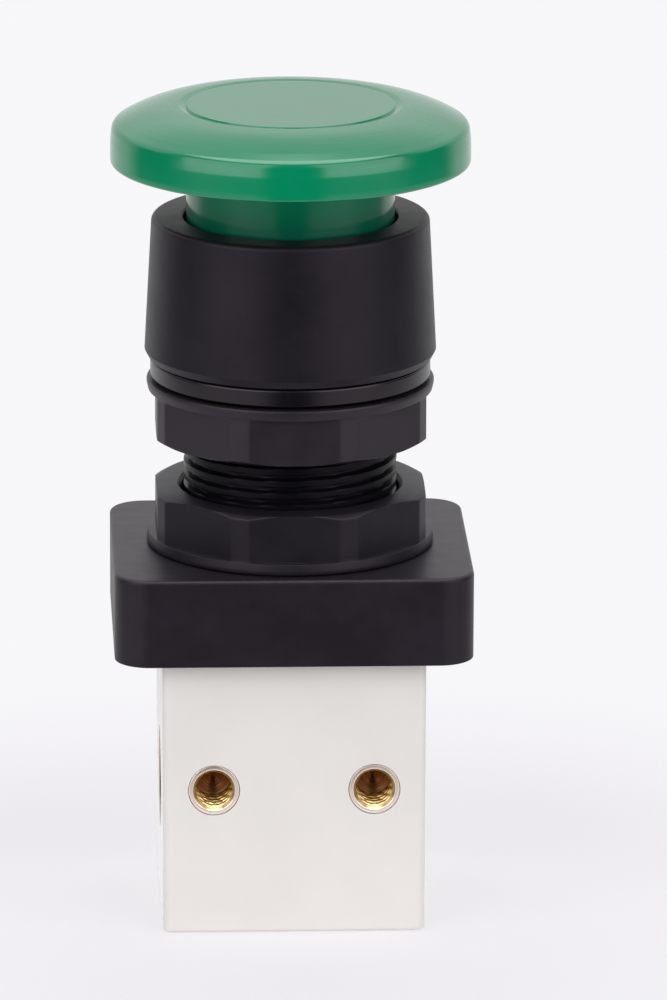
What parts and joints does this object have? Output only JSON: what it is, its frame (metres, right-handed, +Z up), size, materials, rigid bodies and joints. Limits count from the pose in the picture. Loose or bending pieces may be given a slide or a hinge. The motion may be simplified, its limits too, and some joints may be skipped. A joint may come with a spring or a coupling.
{
  "type": "push button pneumatic valve",
  "caption": "Manual pneumatic valve: mushroom push button on a panel mount operator, above a square valve block with side ports and threaded front inserts.",
  "frame": {"origin": "centre of the valve block's bottom face", "axes": "+Z up the button's axis, -Y out of the front face with the two small inserts, -X out of the supply port"},
  "size_m": [0.0404, 0.0404, 0.0922],
  "materials": {
    "green_button": "glossy moulded green plastic",
    "black_plastic": "satin black moulded plastic",
    "black_rubber": "black nitrile rubber",
    "white_block": "warm white moulded plastic",
    "brass": "turned brass",
    "spring_steel": "bright steel",
    "spool_alloy": "turned aluminium"
  },
  "bodies": {
    "housing": {"bezel": "black_plastic", "neck_wiper": "black_rubber", "panel_gasket": "black_rubber", "operator_stem": "black_plastic", "adapter_plate": "black_plastic", "plate_screw_1": "spring_steel", "plate_screw_2": "spring_steel", "plate_screw_3": "spring_steel", "plate_screw_4": "spring_steel", "valve_body": "white_block", "front_insert_left": "brass", "front_insert_right": "brass", "supply_port_insert": "brass", "outlet_port_insert": "brass", "end_plug": "brass", "plug_seal": "black_rubber", "button_spring": "spring_steel", "valve_spring": "spring_steel"},
    "button": {"mushroom_head": "green_button", "button_carrier": "black_plastic"},
    "spool": {"spool": "spool_alloy", "spool_ring_lower": "black_rubber", "spool_ring_middle": "black_rubber", "spool_ring_upper": "black_rubber"},
    "upper_nut": {"upper_nut": "black_plastic"},
    "lower_nut": {"lower_nut": "black_plastic"}
  },
  "joints": [
    {"name": "button_push", "type": "slide", "parent": "housing", "child": "button", "axis": [0, 0, -1], "range_m": [0, 0.005], "stiffness_N_per_m": 700, "springref_m": -0.004, "deforming": ["button_spring"]},
    {"name": "spool_slide", "type": "slide", "parent": "housing", "child": "spool", "axis": [0, 0, -1], "range_m": [0, 0.005], "stiffness_N_per_m": 300, "springref_m": -0.004, "deforming": ["valve_spring"]},
    {"name": "upper_nut_slide", "type": "slide", "parent": "housing", "child": "upper_nut", "axis": [0, 0, -1], "range_m": [0, 0.005]},
    {"name": "lower_nut_turn", "type": "hinge", "parent": "housing", "child": "lower_nut", "pos_m": [0, 0, 0.0453], "axis": [0, 0, 1], "range_deg": [0, 200]}
  ],
  "couplings": [
    {"joint": "spool_slide", "follows": "button_push", "ratio": 1}
  ]
}
